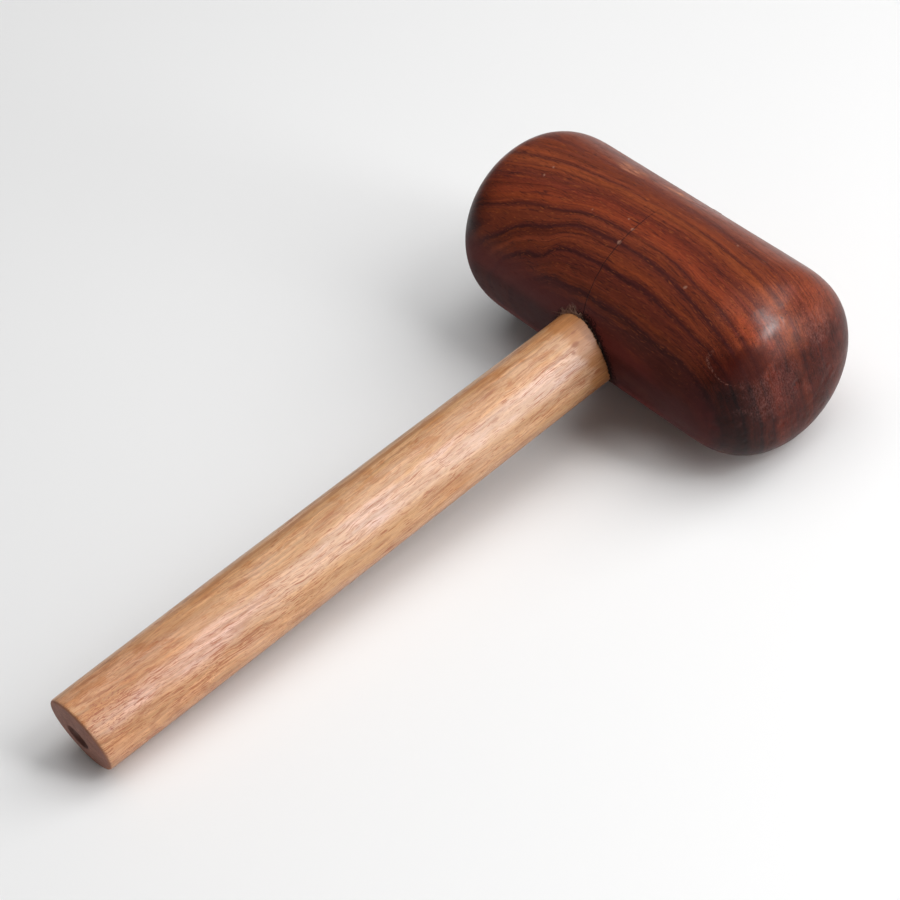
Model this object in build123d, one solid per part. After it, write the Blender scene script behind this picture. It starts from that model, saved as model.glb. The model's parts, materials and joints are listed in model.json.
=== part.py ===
from build123d import *
import math
import os

# Round-headed wooden mallet, lying on a flat surface: a turned hardwood head with domed
# ends, cross-bored for a plain turned handle. The handle runs through the head as a round
# tenon, is glued in, and is spread by a wedge driven into a saw kerf on the far side.
#
# Row frame: +X along the head, the handle runs towards -Y and slopes down to its butt,
# +Z up, origin on the surface below the middle of the bounding box.
# Working frame used below: the handle's axis and the head's axis cross at the origin,
# the head's axis is X and the handle leaves along -Y.

# ---- head ----
HEAD_R = 31.75            # head is 63.5 mm across (2 1/2 in)
HEAD_LEFT = 70.21         # handle axis to the left end
HEAD_RIGHT = 66.09        # handle axis to the right end: the bore is 2 mm off the middle
DOME_DEPTH = 22.2         # length over which each end rounds over
DOME_POWER_LEFT = 3.11    # superellipse powers of the two turned ends
DOME_POWER_RIGHT = 2.955
CENTRE_MARK_R = 1.6       # mark of the lathe centre in each end
CENTRE_MARK_DEPTH = 1.6
BORE_R = 12.90            # cross bore for the handle
FLARE_START = 2.0         # the far side of the bore opens out from here
FLARE_SPREAD = 1.50       # extra half width, along the head, at the far surface

# ---- handle ----
GLUE_T = 0.25             # glue line between tenon and bore
TENON_R = BORE_R - GLUE_T
MOUTH_R = 12.70           # handle where it leaves the head
GRIP_R = 13.668           # straight part of the grip
TAPER_END = 171.4         # the taper runs from the head to here
HANDLE_END = 231.66       # head axis to the butt's edge plane
CUT_X, CUT_Z = 0.050, 0.033   # the butt is sawn a few degrees off square
BUTT_CROWN = 0.70         # the butt is sanded to a slight crown
BUTT_ROUND = 0.95         # and its edge rounded
RECESS_R = 4.2            # mark of the lathe's tail centre, a little off the middle
RECESS_DEPTH = 5.2
RECESS_X, RECESS_Z = -0.9, -0.9
TENON_PROUD = 0.25        # tenon end stands proud of the head by this much

# ---- wedge and kerf ----
KERF_HALF = 0.60          # saw kerf, half width
KERF_BOTTOM = -1.0
WEDGE_TIP = 7.0
WEDGE_SLOPE = FLARE_SPREAD / (HEAD_R - FLARE_START)
WEDGE_PROUD = 0.40

# ---- glue squeezed out at the mouth of the bore ----
BEAD_HEIGHT = 0.50
BEAD_WIDTH = 0.90
GLUE_RECESS = 1.0         # the glue line stops this far below the head's surface

os.makedirs("parts", exist_ok=True)


def cyl_x(radius, length=240.0):
    return Rot(0, 90, 0) * Cylinder(radius, length)


def cyl_y(radius, y0, y1):
    return Pos(0, (y0 + y1) / 2, 0) * Rot(90, 0, 0) * Cylinder(radius, y1 - y0)


def dome(x_start, depth, power, n=13):
    """Points from the cylinder's end to the pole of a superellipse end."""
    pts = []
    for i in range(n):
        t = math.pi / 2 * i / (n - 1)
        c, s = math.cos(math.pi / 2 - t), math.sin(math.pi / 2 - t)
        if i == 0:
            c, s = 0.0, 1.0
        if i == n - 1:
            c, s = 1.0, 0.0
        pts.append((x_start + depth * c ** (2 / power), HEAD_R * s ** (2 / power)))
    return pts


def disc_at(y, rx, rz):
    """A flat ellipse across the handle axis."""
    plane = Plane(origin=(0, y, 0), x_dir=(1, 0, 0), z_dir=(0, 1, 0))
    return plane * (Circle(rx) if abs(rx - rz) < 1e-9 else Ellipse(rx, rz))


def flare(radius, y_end):
    """The flared stretch of the bore, or of the tenon that fills it."""
    spread = FLARE_SPREAD * (y_end - FLARE_START) / (HEAD_R - FLARE_START)
    return loft([disc_at(FLARE_START, radius, radius), disc_at(y_end, radius + spread, radius)])


# ---- head ----
left_start, right_start = -(HEAD_LEFT - DOME_DEPTH), HEAD_RIGHT - DOME_DEPTH
left = [(-x, r) for x, r in dome(-left_start, DOME_DEPTH, DOME_POWER_LEFT)][::-1]
right = dome(right_start, DOME_DEPTH, DOME_POWER_RIGHT)
outline = (
    Spline(*left, tangents=[(0, 1), (1, 0)])
    + Line(left[-1], right[0])
    + Spline(*right, tangents=[(1, 0), (0, -1)])
    + Line(right[-1], left[0])
)
blank = revolve(make_face(outline), axis=Axis.X, revolution_arc=360)
Y_OUT = HEAD_R + 4
bore = cyl_y(BORE_R, -Y_OUT, FLARE_START) + flare(BORE_R, Y_OUT)
head = blank - bore
for x_end, turn in ((-HEAD_LEFT, -90), (HEAD_RIGHT, 90)):
    # a cone whose wide end lies just outside the pole
    inward = 1 if x_end < 0 else -1
    mark = Cone(CENTRE_MARK_R + 0.2, 0.15, CENTRE_MARK_DEPTH + 0.2)
    head -= Pos(x_end + inward * (CENTRE_MARK_DEPTH - 0.2) / 2, 0, 0) * Rot(0, -turn, 0) * mark

# ---- handle ----
profile = Polyline(
    (0, FLARE_START), (TENON_R, FLARE_START), (TENON_R, -(HEAD_R - 3.2)), (MOUTH_R, -HEAD_R),
    (GRIP_R, -TAPER_END), (GRIP_R, -(HANDLE_END + 4)), (0, -(HANDLE_END + 4)), (0, FLARE_START),
)
stick = revolve(make_face(profile), axis=Axis.Y, revolution_arc=360)
cut_len = math.sqrt(1 + CUT_X ** 2 + CUT_Z ** 2)
butt_n = (CUT_X / cut_len, -1 / cut_len, -CUT_Z / cut_len)
crown_r = (GRIP_R ** 2 + BUTT_CROWN ** 2) / (2 * BUTT_CROWN)
butt_pole = (0.0, -(HANDLE_END + BUTT_CROWN), 0.0)
crown_c = tuple(p - crown_r * n for p, n in zip(butt_pole, butt_n))
keep = Pos(*crown_c) * Sphere(crown_r)
split_y = -(HANDLE_END - 30)
upper = stick & Pos(0, split_y + 150, 0) * Box(60, 300, 60)
lower = (stick & Pos(0, split_y - 30, 0) * Box(60, 60, 60)) & keep
rim = lower.edges().sort_by(Axis.Y)[0:1]
lower = fillet(rim, BUTT_ROUND)
stick = upper + lower
recess = Cone(RECESS_R + 0.35, 0.35, RECESS_DEPTH + 0.4)   # narrow end inwards
stick -= Pos(RECESS_X, butt_pole[1] + (RECESS_DEPTH - 0.4) / 2, RECESS_Z) * Rot(-90, 0, 0) * recess

tenon_full = cyl_y(TENON_R, -HEAD_R, FLARE_START) + flare(TENON_R, Y_OUT)
tenon_tip = flare(TENON_R, Y_OUT) & cyl_x(HEAD_R + TENON_PROUD)


def half_width(y):
    return KERF_HALF + WEDGE_SLOPE * max(0.0, y - FLARE_START)


slot = extrude(
    make_face(Polyline(
        (-KERF_HALF, KERF_BOTTOM), (KERF_HALF, KERF_BOTTOM), (KERF_HALF, FLARE_START),
        (half_width(Y_OUT), Y_OUT), (-half_width(Y_OUT), Y_OUT), (-KERF_HALF, FLARE_START),
        (-KERF_HALF, KERF_BOTTOM),
    )), 20, both=True)
handle = (stick + tenon_tip) - slot

# ---- wedge: fills the opened kerf, its sides trimmed to the tenon ----
wedge = extrude(
    make_face(Polyline(
        (-half_width(WEDGE_TIP), WEDGE_TIP), (half_width(WEDGE_TIP), WEDGE_TIP),
        (half_width(Y_OUT), Y_OUT), (-half_width(Y_OUT), Y_OUT), (-half_width(WEDGE_TIP), WEDGE_TIP),
    )), 20, both=True) & flare(TENON_R, Y_OUT) & cyl_x(HEAD_R + WEDGE_PROUD)

# ---- glue line and the bead squeezed out at the mouth ----
glue_line = (bore - tenon_full - stick) & cyl_x(HEAD_R - GLUE_RECESS)
ring = (cyl_y(MOUTH_R + BEAD_WIDTH, -(HEAD_R + 3), -(HEAD_R - 6)) - cyl_y(MOUTH_R + 0.01, -(HEAD_R + 4), -(HEAD_R - 7)))
glue_bead = (ring & cyl_x(HEAD_R + BEAD_HEIGHT)) - cyl_x(HEAD_R + 0.005)

# ---- lay it down: the head rests on its side and the butt's edge touches the surface ----


def butt_height(slope):
    """Height of the butt's lowest point with the handle sloped by this angle."""
    end = stick & Pos(0, -(HANDLE_END - 5), 0) * Box(60, 30, 60)
    return HEAD_R + (Rot(math.degrees(slope), 0, 0) * end).bounding_box().min.Z


lo, hi = math.radians(4.3), math.radians(4.7)
h_lo, h_hi = butt_height(lo), butt_height(hi)
for _ in range(3):
    mid = lo + (hi - lo) * h_lo / (h_lo - h_hi)
    h_mid = butt_height(mid)
    lo, h_lo, hi, h_hi = (mid, h_mid, hi, h_hi) if h_mid > 0 else (lo, h_lo, mid, h_mid)
SLOPE = mid

pieces = {"head": head, "handle": handle, "wedge": wedge, "glue_line": glue_line, "glue_bead": glue_bead}
tilt = Rot(math.degrees(SLOPE), 0, 0)
boxes = [(tilt * p).bounding_box() for p in pieces.values()]
y_lo, y_hi = min(b.min.Y for b in boxes), max(b.max.Y for b in boxes)
place = Pos((HEAD_LEFT - HEAD_RIGHT) / 2, -(y_lo + y_hi) / 2, HEAD_R) * tilt

for name, shape in pieces.items():
    out = place * shape
    solids = out.solids()
    out = solids[0] if len(solids) == 1 else Compound(children=solids)
    export_step(out, f"parts/{name}.step")
    bb = out.bounding_box()
    print(f"{name:10s} solids {len(solids)} volume {out.volume:10.2f} mm3  "
          f"x {bb.min.X:8.2f} {bb.max.X:8.2f}  y {bb.min.Y:8.2f} {bb.max.Y:8.2f}  z {bb.min.Z:7.3f} {bb.max.Z:7.3f}")


def to_row(p):
    v = place * Pos(*p)
    q = v.position
    return [round(c / 1000, 6) for c in (q.X, q.Y, q.Z)]


print("slope deg", round(math.degrees(SLOPE), 4))
print("handle axis crosses head axis at (m)", to_row((0, 0, 0)))
print("grip centre (m)", to_row((0, -(TAPER_END + HANDLE_END - BUTT_ROUND) / 2, 0)),
      "length mm", round(HANDLE_END - BUTT_ROUND - TAPER_END, 3))
print("handle direction", [round(c, 6) for c in (0, -math.cos(SLOPE), -math.sin(SLOPE))])
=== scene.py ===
import json
import math
import random

import bpy
import numpy as np
from mathutils import Matrix, Vector, noise


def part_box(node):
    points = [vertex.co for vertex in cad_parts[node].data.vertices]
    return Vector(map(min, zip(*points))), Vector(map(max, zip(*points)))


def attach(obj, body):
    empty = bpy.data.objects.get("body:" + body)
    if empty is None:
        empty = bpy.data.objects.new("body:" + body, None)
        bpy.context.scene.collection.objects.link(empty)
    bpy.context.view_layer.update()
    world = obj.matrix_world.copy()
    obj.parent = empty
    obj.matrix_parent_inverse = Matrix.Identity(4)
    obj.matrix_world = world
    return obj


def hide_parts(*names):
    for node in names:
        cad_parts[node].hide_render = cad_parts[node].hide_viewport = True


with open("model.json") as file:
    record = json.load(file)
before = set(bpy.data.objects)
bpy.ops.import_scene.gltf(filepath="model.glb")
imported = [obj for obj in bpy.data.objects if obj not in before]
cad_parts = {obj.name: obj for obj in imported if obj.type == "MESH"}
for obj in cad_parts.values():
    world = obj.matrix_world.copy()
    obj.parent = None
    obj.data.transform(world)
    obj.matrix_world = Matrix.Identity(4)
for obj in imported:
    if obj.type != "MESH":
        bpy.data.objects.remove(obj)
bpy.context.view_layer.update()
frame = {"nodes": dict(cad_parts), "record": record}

# ---------------------------------------------------------------- the frame
# Working frame: the head's axis is X, the handle leaves along -Y, +Z is up, and the two
# axes cross at the origin. Meshes are made in it, in millimetres, and placed by PLACE.
lo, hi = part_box("head")
grip = frame["record"]["mounts"][0]
R = (hi.z - lo.z) / 2 * 1000
ORIGIN = Vector((grip["pos_m"][0], (lo.y + hi.y) / 2, (lo.z + hi.z) / 2))
SLOPE = math.atan2(-grip["axis"][2], -grip["axis"][1])
PLACE = Matrix.Translation(ORIGIN) @ Matrix.Rotation(SLOPE, 4, "X")
HEAD_LEFT = (ORIGIN.x - lo.x) * 1000
HEAD_RIGHT = (hi.x - ORIGIN.x) * 1000
GRIP_R = grip["dims"]["r_mm"]

DOME, POW_L, POW_R = 22.2, 3.11, 2.955
BORE_R, TENON_R, MOUTH_R = 12.90, 12.65, 12.70
FLARE_Y, FLARE = 2.0, 1.50
TAPER_END, HANDLE_END = 171.4, 231.66
CUT_X, CUT_Z, CROWN, BUTT_ROUND = 0.050, 0.033, 0.70, 0.95
RECESS_R, RECESS_DEPTH, RECESS_X, RECESS_Z = 4.2, 5.2, -0.9, -0.9
KERF, KERF_Y = 0.60, -1.0


# ---------------------------------------------------------------- helpers
def make_object(name, verts, faces, smooth_angle=40):
    me = bpy.data.meshes.new(name)
    me.from_pydata([tuple(v) for v in np.asarray(verts) * 0.001], [], faces)
    me.validate()
    ob = bpy.data.objects.new(name, me)
    bpy.context.scene.collection.objects.link(ob)
    bpy.context.view_layer.objects.active = ob
    for o in bpy.context.selected_objects:
        o.select_set(False)
    ob.select_set(True)
    bpy.ops.object.mode_set(mode="EDIT")
    bpy.ops.mesh.select_all(action="SELECT")
    bpy.ops.mesh.remove_doubles(threshold=1e-7)
    bpy.ops.mesh.normals_make_consistent(inside=False)
    bpy.ops.object.mode_set(mode="OBJECT")
    bpy.ops.object.shade_smooth_by_angle(angle=math.radians(smooth_angle))
    return ob


def settle(ob, slot, *replaces):
    """Moves a finished mesh from the working frame to the row frame and fixes it to the body."""
    ob.data.transform(PLACE)
    ob.data.update()
    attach(ob, "root")
    if replaces:
        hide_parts(*replaces)


def coords(ob):
    n = len(ob.data.vertices)
    co = np.zeros(n * 3)
    no = np.zeros(n * 3)
    ob.data.vertices.foreach_get("co", co)
    ob.data.vertices.foreach_get("normal", no)
    return co.reshape(-1, 3) * 1000, no.reshape(-1, 3)


def move_verts(ob, co):
    ob.data.vertices.foreach_set("co", (co * 0.001).astype(np.float32).ravel())
    ob.data.update()


def noise_at(pts, scale, seed=0.0):
    """Smooth noise from 0 to 1 at each point; scale is in mm, a number or one per axis."""
    s = np.broadcast_to(np.asarray(scale, float), (3,))
    q = pts / s + np.array([seed, seed * 1.7, -seed * 0.6])
    return np.array([0.5 + 0.5 * noise.noise(Vector(p)) for p in q])


def bridge(a, b, closed=True):
    n = len(a)
    m = n if closed else n - 1
    return [(a[i], a[(i + 1) % n], b[(i + 1) % n], b[i]) for i in range(m)]


def resample(x, r, step):
    d = np.concatenate([[0], np.cumsum(np.hypot(np.diff(x), np.diff(r)))])
    n = max(2, int(round(d[-1] / step)))
    t = np.linspace(0, d[-1], n + 1)
    return np.interp(t, d, x), np.interp(t, d, r)


# ---------------------------------------------------------------- the head
def head_profile(x_from, x_to, step):
    """Stations (x, radius) of the turned outline between two places on the axis."""
    ang = np.linspace(0, math.pi / 2, 400)
    lx = -(HEAD_LEFT - DOME) - DOME * np.cos(ang) ** (2 / POW_L)
    lr = R * np.sin(ang) ** (2 / POW_L)
    rx = (HEAD_RIGHT - DOME) + DOME * np.sin(ang) ** (2 / POW_R)
    rr = R * np.cos(ang) ** (2 / POW_R)
    rr[-1] = 0.0
    lx[-1], lr[0] = -(HEAD_LEFT - DOME), 0.0
    x = np.concatenate([lx, np.linspace(lx[-1], rx[0], 200)[1:-1], rx])
    r = np.concatenate([lr, np.full(198, R), rr])
    keep = (x >= x_from - 1e-9) & (x <= x_to + 1e-9)
    return resample(x[keep], r[keep], step)


WIN_X, WIN_A, WIN_N = 20.4, 37.5, 60
A_STEP = 2 * WIN_A / WIN_N
N_AROUND = int(round(360 / A_STEP))


def flare_at(y):
    return FLARE * np.maximum(0.0, y - FLARE_Y) / (R - FLARE_Y)


def build_head():
    verts, faces = [], []

    def add(points):
        start = len(verts)
        verts.extend([tuple(p) for p in points])
        return list(range(start, len(verts)))

    # stations: a lathe-centre cone in each pole, then the turned outline
    mid = np.linspace(-WIN_X, WIN_X, WIN_N + 1)
    lx, lr = head_profile(-HEAD_LEFT, -WIN_X, 0.72)
    rx, rr = head_profile(WIN_X, HEAD_RIGHT, 0.72)
    cone_r = np.array([0.02, 0.35, 0.8, 1.25, 1.62, 1.9])
    cone_d = np.array([0.42, 0.36, 0.26, 0.14, 0.04, 0.0])
    keep = lr > 2.2
    lx, lr = np.concatenate([-HEAD_LEFT + cone_d, lx[keep]]), np.concatenate([cone_r, lr[keep]])
    keep = rr > 2.2
    rx, rr = np.concatenate([rx[keep], (HEAD_RIGHT - cone_d)[::-1]]), np.concatenate([rr[keep], cone_r[::-1]])
    xs = np.concatenate([lx[:-1], mid, rx[1:]])
    rs = np.concatenate([lr[:-1], np.full(len(mid), R), rr[1:]])
    i0 = len(lx) - 1
    ang = np.radians(np.arange(N_AROUND) * A_STEP - WIN_A)   # 0 points to the handle
    rings = []
    for x, r in zip(xs, rs):
        rings.append(add(np.stack([np.full(N_AROUND, x), -r * np.cos(ang), r * np.sin(ang)], 1)))
    half_turn = N_AROUND // 2
    for i in range(len(xs) - 1):
        inside_x = i0 <= i < i0 + WIN_N
        for j in range(N_AROUND):
            if inside_x and (j < WIN_N or half_turn <= j < half_turn + WIN_N):
                continue
            k = (j + 1) % N_AROUND
            faces.append((rings[i][j], rings[i][k], rings[i + 1][k], rings[i + 1][j]))
    for ring in (rings[0], rings[-1]):
        faces.append(tuple(ring))

    # a round patch in each window, from its square edge to the bore
    a = np.radians(np.linspace(-WIN_A, WIN_A, WIN_N + 1))
    loop = ([(WIN_X, p) for p in a] + [(x, a[-1]) for x in mid[::-1][1:]]
            + [(-WIN_X, p) for p in a[::-1][1:]] + [(x, a[0]) for x in mid[1:-1]])
    loop = np.array(loop)
    bx, bz = loop[:, 0], R * np.sin(loop[:, 1])
    turn = np.arctan2(R * loop[:, 1], bx)
    ux, uz = np.cos(turn), np.sin(turn)
    lip_noise = noise_at(np.stack([ux * 6, uz * 6, 0 * ux], 1), 1.6, 3.0)
    lip2 = noise_at(np.stack([ux * 6, uz * 6, 0 * ux], 1), 0.45, 9.0)
    ends = {}
    for side in (-1, 1):
        lip = 0.30 + 0.30 * lip_noise + 0.22 * np.maximum(0, lip2 - 0.5)
        if side > 0:
            lip = 0.15 + 0.2 * lip_noise
        grow = flare_at(R) if side > 0 else 0.0
        ix, iz = (BORE_R + grow + lip) * ux, (BORE_R + lip) * uz
        prev = None
        for t in 1 - (1 - np.linspace(0, 1, 15)) ** 1.25:
            x, z = bx + (ix - bx) * t, bz + (iz - bz) * t
            ring = add(np.stack([x, side * np.sqrt(R * R - z * z), z], 1))
            if prev:
                faces.extend(bridge(prev, ring))
            prev = ring
        for q in np.radians([22, 45, 68, 90]):
            x = ix - lip * math.sin(q) * ux
            z = iz - lip * math.sin(q) * uz
            y = side * (np.sqrt(R * R - z * z) - lip * (1 - math.cos(q)))
            ring = add(np.stack([x, y, z], 1))
            faces.extend(bridge(prev, ring))
            prev = ring
        ends[side] = (prev, y)
    prev = ends[-1][0]
    for t in np.linspace(0, 1, 13)[1:-1]:
        y = ends[-1][1] + (ends[1][1] - ends[-1][1]) * t
        ring = add(np.stack([(BORE_R + flare_at(y)) * ux, y, BORE_R * uz], 1))
        faces.extend(bridge(prev, ring))
        prev = ring
    faces.extend(bridge(prev, ends[1][0]))
    ob = make_object("mallet_head", verts, faces, 35)

    # the turned surface is not perfect: soft waviness, and knocks on both striking ends
    co, no = coords(ob)
    rad = np.hypot(co[:, 1], co[:, 2])
    outer = (np.abs(rad - np.interp(co[:, 0], xs, rs)) < 0.05)
    d = -0.09 * noise_at(co, (26, 11, 11), 1.0) - 0.03 * noise_at(co, 4.0, 5.0)
    r2 = random.Random(7)
    for k in range(240):
        right = k % 8 != 0
        # direction on the end: knocks gather on the face and thin out round its shoulder
        rho = abs(r2.gauss(0, 14)) if right else abs(r2.gauss(0, 12))
        rho = min(rho, 29)
        th = r2.uniform(0, 2 * math.pi)
        cy, cz = rho * math.cos(th), rho * math.sin(th)
        p = POW_R if right else POW_L
        cx = DOME * (1 - (rho / R) ** p) ** (1 / p)
        cx = (HEAD_RIGHT - DOME) + cx if right else -(HEAD_LEFT - DOME) - cx
        size = r2.uniform(0.7, 2.4)
        depth = r2.uniform(0.02, 0.075) * size ** 0.5
        dist = np.sqrt((co[:, 0] - cx) ** 2 + (co[:, 1] - cy) ** 2 + (co[:, 2] - cz) ** 2)
        near = dist < size * 1.6
        d[near] -= depth * np.exp(-(dist[near] / (size * 0.62)) ** 4)
    co[outer] += no[outer] * d[outer, None]
    move_verts(ob, co)
    return ob


# ---------------------------------------------------------------- the handle
def handle_r(s):
    """Radius of the handle at a distance s from the head's axis."""
    s = np.asarray(s, float)
    return np.interp(s, [0, R - 3.2, R, TAPER_END, 400], [TENON_R, TENON_R, MOUTH_R, GRIP_R, GRIP_R])


N_ARC, N_GAP = 90, 3


def half_width(y):
    return KERF + FLARE * np.maximum(0.0, y - FLARE_Y) / (R - FLARE_Y)


def build_handle():
    verts, faces = [], []

    def add(points):
        start = len(verts)
        verts.extend([tuple(p) for p in points])
        return list(range(start, len(verts)))

    open_a = math.acos(KERF / TENON_R)
    right = np.linspace(-open_a, open_a, N_ARC + 1)
    top = np.linspace(open_a, math.pi - open_a, N_GAP + 1)[1:-1]
    left = np.linspace(math.pi - open_a, math.pi + open_a, N_ARC + 1)
    bottom = np.linspace(math.pi + open_a, 2 * math.pi - open_a, N_GAP + 1)[1:-1]
    ang = np.concatenate([right, top, left, bottom])
    c, s_ = np.cos(ang), np.sin(ang)
    stations = np.concatenate([[-KERF_Y], np.arange(3, 30, 2.5), np.arange(30, HANDLE_END - 0.96, 0.9)])
    prev = first = None

    def tilt(x, z, w):
        return w * (-CUT_X * x + CUT_Z * z)

    for s in stations:
        r = float(handle_r(s))
        w = np.clip((s - (HANDLE_END - 26)) / 25.0, 0, 1) ** 1.2
        x, z = r * c, r * s_
        ring = add(np.stack([x, -(s + tilt(x, z, w)), z], 1))
        if prev:
            faces.extend(bridge(prev, ring))
        else:
            first = ring
        prev = ring
    # the sawn, sanded butt: rounded edge, slight crown, then the centre mark
    edge = BUTT_ROUND * (0.88 + 0.35 * noise_at(np.stack([c * 5, s_ * 5, 0 * c], 1), 2.2, 2.0))
    for q in np.radians([8, 22, 38, 54, 70, 84]):
        r = GRIP_R - edge * (1 - math.cos(q))
        x, z = r * c, r * s_
        up = CROWN * (1 - (r / GRIP_R) ** 2)
        ring = add(np.stack([x, -(HANDLE_END - edge * (1 - math.sin(q)) + up + tilt(x, z, 1.0)), z], 1))
        faces.extend(bridge(prev, ring))
        prev = ring
    rim_r = RECESS_R * (1 + 0.10 * (noise_at(np.stack([c * 4, s_ * 4, 0 * c], 1), 2.5, 6.0) - 0.5))
    r_out = GRIP_R - edge
    for t in np.linspace(0, 1, 17)[1:]:
        rr = r_out + (rim_r + 0.45 - r_out) * t
        x, z = rr * c + RECESS_X * t, rr * s_ + RECESS_Z * t
        up = CROWN * (1 - np.hypot(x, z) ** 2 / GRIP_R ** 2)
        ring = add(np.stack([x, -(HANDLE_END + up + tilt(x, z, 1.0)), z], 1))
        faces.extend(bridge(prev, ring))
        prev = ring
    for k, (dr, depth) in enumerate([(0.25, 0.08), (0.08, 0.28), (-0.10, 0.62), (-0.7, 1.35), (-1.3, 2.1),
                                     (-1.9, 2.9), (-2.6, 3.75), (-3.2, 4.5), (-3.7, 5.05), (-3.95, 5.2)]):
        rr = np.maximum(rim_r + dr, 0.12)
        x, z = rr * c + RECESS_X, rr * s_ + RECESS_Z
        up = CROWN * (1 - np.hypot(x, z) ** 2 / GRIP_R ** 2)
        ring = add(np.stack([x, -(HANDLE_END + up - depth + tilt(x, z, 1.0)), z], 1))
        faces.extend(bridge(prev, ring))
        prev = ring
    faces.append(tuple(prev))

    # the far end: two cheeks spread by the wedge, and the kerf's floor between them
    arcs = {1: first[:N_ARC + 1], -1: first[N_ARC + N_GAP:2 * N_ARC + N_GAP + 1]}
    ends = {}
    for side in (1, -1):
        arc0 = arcs[side]
        chord0 = [arc0[0]] + add([(side * KERF, KERF_Y, verts[i][2]) for i in arc0[1:-1]]) + [arc0[-1]]
        for i in range(1, N_ARC):
            v = verts[arc0[i]]
            verts[chord0[i]] = (side * KERF, v[1], v[2])
        arc_p, chord_p = arc0, chord0
        ends[side] = chord0
        zlim = TENON_R * math.sin(open_a)
        for t in np.linspace(0, 1, 21)[1:]:
            arc_pts, chord_pts = [], []
            for k in range(N_ARC + 1):
                a = right[k] / open_a
                z = TENON_R * math.sin(a * open_a)
                y_top = math.sqrt((R + 0.22) ** 2 - z * z)
                y = KERF_Y + (y_top - KERF_Y) * t
                hw = float(half_width(y))
                rx = TENON_R + float(flare_at(y))
                oa = math.acos(min(1.0, hw / rx))
                zz = TENON_R * math.sin(a * oa)
                arc_pts.append((side * rx * math.cos(a * oa), y, zz))
                chord_pts.append((side * hw, y, zz))
            if side < 0:
                arc_pts, chord_pts = arc_pts[::-1], chord_pts[::-1]
            arc = add(arc_pts)
            chord = [arc[0]] + add(chord_pts[1:-1]) + [arc[-1]]
            faces.extend(bridge(arc_p, arc, False))
            faces.extend(bridge(chord_p, chord, False))
            arc_p, chord_p = arc, chord
        # end grain
        cols = 9
        grid = [chord_p]
        for m in range(1, cols):
            f = m / cols
            grid.append([None] + add([tuple(np.array(verts[chord_p[i]]) * (1 - f) + np.array(verts[arc_p[i]]) * f)
                                      for i in range(1, N_ARC)]) + [None])
        grid.append(arc_p)
        for m in range(cols):
            A, B = grid[m], grid[m + 1]
            for i in range(1, N_ARC - 1):
                faces.append((A[i], A[i + 1], B[i + 1], B[i]))
        for e, i in ((0, 1), (N_ARC, N_ARC - 1)):
            faces.append(tuple([arc_p[e]] + [grid[m][i] for m in range(cols + 1)]))
    rc, lc = ends[1], ends[-1][::-1]
    for i in range(1, N_ARC - 1):
        faces.append((rc[i], rc[i + 1], lc[i + 1], lc[i]))
    top_gap = first[N_ARC + 1:N_ARC + N_GAP]
    bot_gap = first[2 * N_ARC + N_GAP + 1:]
    faces.append(tuple([rc[-2], rc[-1]] + top_gap + [lc[-1], lc[-2]]))
    faces.append(tuple([rc[1], lc[1], lc[0]] + bot_gap + [rc[0]]))
    ob = make_object("mallet_handle", verts, faces, 35)

    co, no = coords(ob)
    s = -co[:, 1]
    out = np.clip((s - (R + 1)) / 6, 0, 1)
    d = -out * (0.10 * noise_at(co, (9, 55, 9), 4.0) + 0.035 * noise_at(co, (3.5, 18, 3.5), 8.0))
    # a few knocks along the grip
    r2 = random.Random(11)
    for k in range(26):
        cs, ca = r2.uniform(45, 226), r2.uniform(0, 2 * math.pi)
        rr = float(handle_r(cs))
        size = r2.uniform(0.8, 2.2)
        depth = r2.uniform(0.03, 0.10)
        q = (co - np.array([rr * math.cos(ca), -cs, rr * math.sin(ca)])) / np.array([size, size * 1.8, size])
        d -= depth * np.exp(-(np.linalg.norm(q, axis=1)) ** 3)
    # end grain of the tenon, slightly rough
    end = np.hypot(co[:, 1], co[:, 2]) > R + 0.15
    end &= co[:, 1] > 0
    d = np.where(end, -0.10 * noise_at(co, (0.9, 9, 0.9), 2.0), d)
    co += no * d[:, None]
    move_verts(ob, co)
    return ob


# ---------------------------------------------------------------- the wedge
def build_wedge():
    nx, nz, nt = 6, 60, 14
    tip = 7.0
    idx, verts, faces = {}, [], []

    def point(i, j, k):
        f, g, t = i / nx * 2 - 1, j / nz * 2 - 1, k / nt
        z_guess = g * 12.4
        top = math.sqrt((R + 0.38) ** 2 - z_guess ** 2)
        y = tip + (top - tip) * t
        hw = float(half_width(y)) - 0.004
        rx = TENON_R + float(flare_at(y))
        x = f * hw
        z = g * TENON_R * math.sqrt(1 - (hw / rx) ** 2) * 0.997
        return (x, y, z)

    for i in range(nx + 1):
        for j in range(nz + 1):
            for k in range(nt + 1):
                if i in (0, nx) or j in (0, nz) or k in (0, nt):
                    idx[i, j, k] = len(verts)
                    verts.append(point(i, j, k))
    for i in range(nx):
        for j in range(nz):
            for k in (0, nt):
                faces.append((idx[i, j, k], idx[i + 1, j, k], idx[i + 1, j + 1, k], idx[i, j + 1, k]))
    for i in range(nx):
        for k in range(nt):
            for j in (0, nz):
                faces.append((idx[i, j, k], idx[i + 1, j, k], idx[i + 1, j, k + 1], idx[i, j, k + 1]))
    for j in range(nz):
        for k in range(nt):
            for i in (0, nx):
                faces.append((idx[i, j, k], idx[i, j + 1, k], idx[i, j + 1, k + 1], idx[i, j, k + 1]))
    ob = make_object("mallet_wedge", verts, faces, 35)
    co, no = coords(ob)
    top = np.hypot(co[:, 1], co[:, 2]) > R + 0.2
    d = np.where(top & (co[:, 1] > 0), -0.16 * noise_at(co, (0.8, 5, 1.6), 3.0), 0.0)
    co += no * d[:, None]
    move_verts(ob, co)
    return ob


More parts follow.
